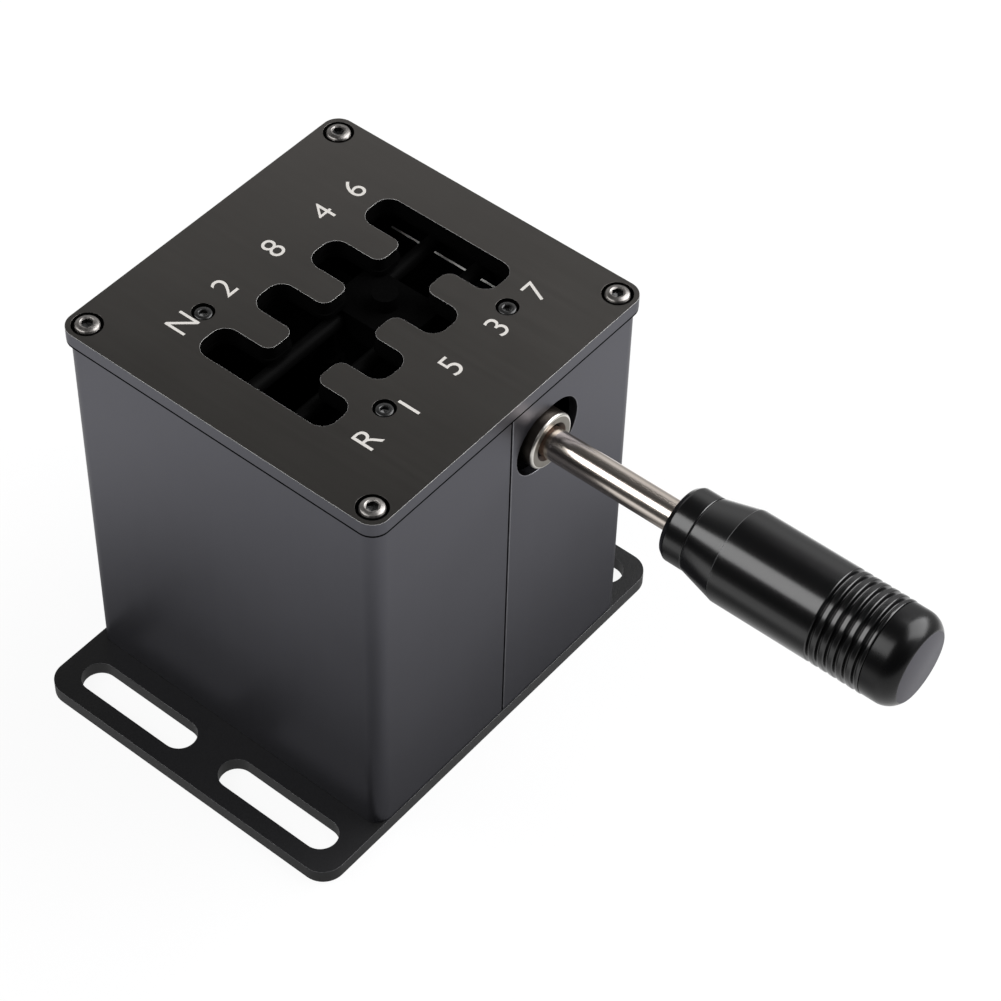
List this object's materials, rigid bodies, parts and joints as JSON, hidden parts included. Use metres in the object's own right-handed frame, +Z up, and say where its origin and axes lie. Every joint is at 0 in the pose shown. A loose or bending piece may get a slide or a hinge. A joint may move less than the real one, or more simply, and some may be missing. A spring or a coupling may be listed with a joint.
{
  "type": "sim racing gear shifter",
  "caption": "Square metal box shifter with a slotted four-lane gate on top, a lever with a turned knob leaving one side wall, and a slotted base plate.",
  "frame": {"origin": "centre of the box on the underside of the base plate", "axes": "+X out along the lever, +Z up, +Y across the gate's slots"},
  "size_m": [0.2499, 0.1616, 0.1443],
  "materials": {
    "base_paint": "satin black",
    "wall_paint": "satin grey",
    "gate_paint": "satin warm grey",
    "black_steel": "black oxide",
    "zinc": "zinc plated",
    "bright_steel": "polished",
    "nickel": "nickel plated",
    "grey_plate": "anodised",
    "black_plastic": "moulded",
    "board": "solder mask",
    "knob_black": "gloss black"
  },
  "bodies": {
    "housing": {"base_plate": "base_paint", "shell_near": "wall_paint", "shell_far": "wall_paint", "seam_strap_front": "black_steel", "seam_strap_rear": "black_steel", "gate_plate": "gate_paint", "gate_liner": "black_steel", "corner_screw_left": "bright_steel", "corner_screw_back": "bright_steel", "corner_screw_right": "bright_steel", "corner_screw_front": "bright_steel", "liner_screw_left": "black_steel", "liner_screw_right": "black_steel", "liner_screw_front": "black_steel", "base_screws": "zinc", "shelf": "grey_plate", "shelf_posts": "zinc", "guide_rod_near": "bright_steel", "guide_rod_far": "bright_steel", "rod_blocks_near": "black_plastic", "rod_blocks_far": "black_plastic", "upper_bearing": "black_steel", "rocker_stud": "bright_steel", "circuit_board": "board", "usb_socket": "zinc", "sensor_near": "black_plastic", "sensor_far": "black_plastic"},
    "swivel": {"swivel": "bright_steel", "flanged_bush": "nickel", "swivel_arm": "zinc"},
    "lever": {"shaft": "bright_steel", "drive_pin": "bright_steel", "knob_collar": "knob_black", "knob_grip": "knob_black", "knob_cap": "knob_black"},
    "rocker": {"rocker": "zinc", "rocker_post": "bright_steel"},
    "carriage": {"carriage_near": "grey_plate", "carriage_far": "grey_plate", "drive_bar": "zinc", "cross_rod_front": "bright_steel", "cross_rod_rear": "bright_steel"},
    "selector": {"finger_block": "black_plastic", "selector_finger": "black_steel"}
  },
  "joints": [
    {"name": "lever_swing", "type": "hinge", "parent": "housing", "child": "swivel", "pos_m": [0.0489, 0.0146, 0.1195], "axis": [0, 0, 1], "range_deg": [-9, 18]},
    {"name": "lever_slide", "type": "slide", "parent": "swivel", "child": "lever", "axis": [1, 0, 0], "range_m": [-0.012, 0.012]},
    {"name": "rocker_turn", "type": "hinge", "parent": "housing", "child": "rocker", "pos_m": [0.03115, 0.00467, 0.09], "axis": [0, 0, 1], "range_deg": [-27.01, 54.01]},
    {"name": "carriage_slide", "type": "slide", "parent": "housing", "child": "carriage", "axis": [1, 0, 0], "range_m": [-0.01201, 0.01201]},
    {"name": "selector_slide", "type": "slide", "parent": "carriage", "child": "selector", "axis": [0, 1, 0], "range_m": [-0.04761, 0.02381]}
  ],
  "couplings": [
    {"joint": "rocker_turn", "follows": "lever_swing", "ratio": 3},
    {"joint": "carriage_slide", "follows": "lever_slide", "ratio": 1},
    {"joint": "selector_slide", "follows": "lever_swing", "m_per_rad": -0.15152}
  ]
}
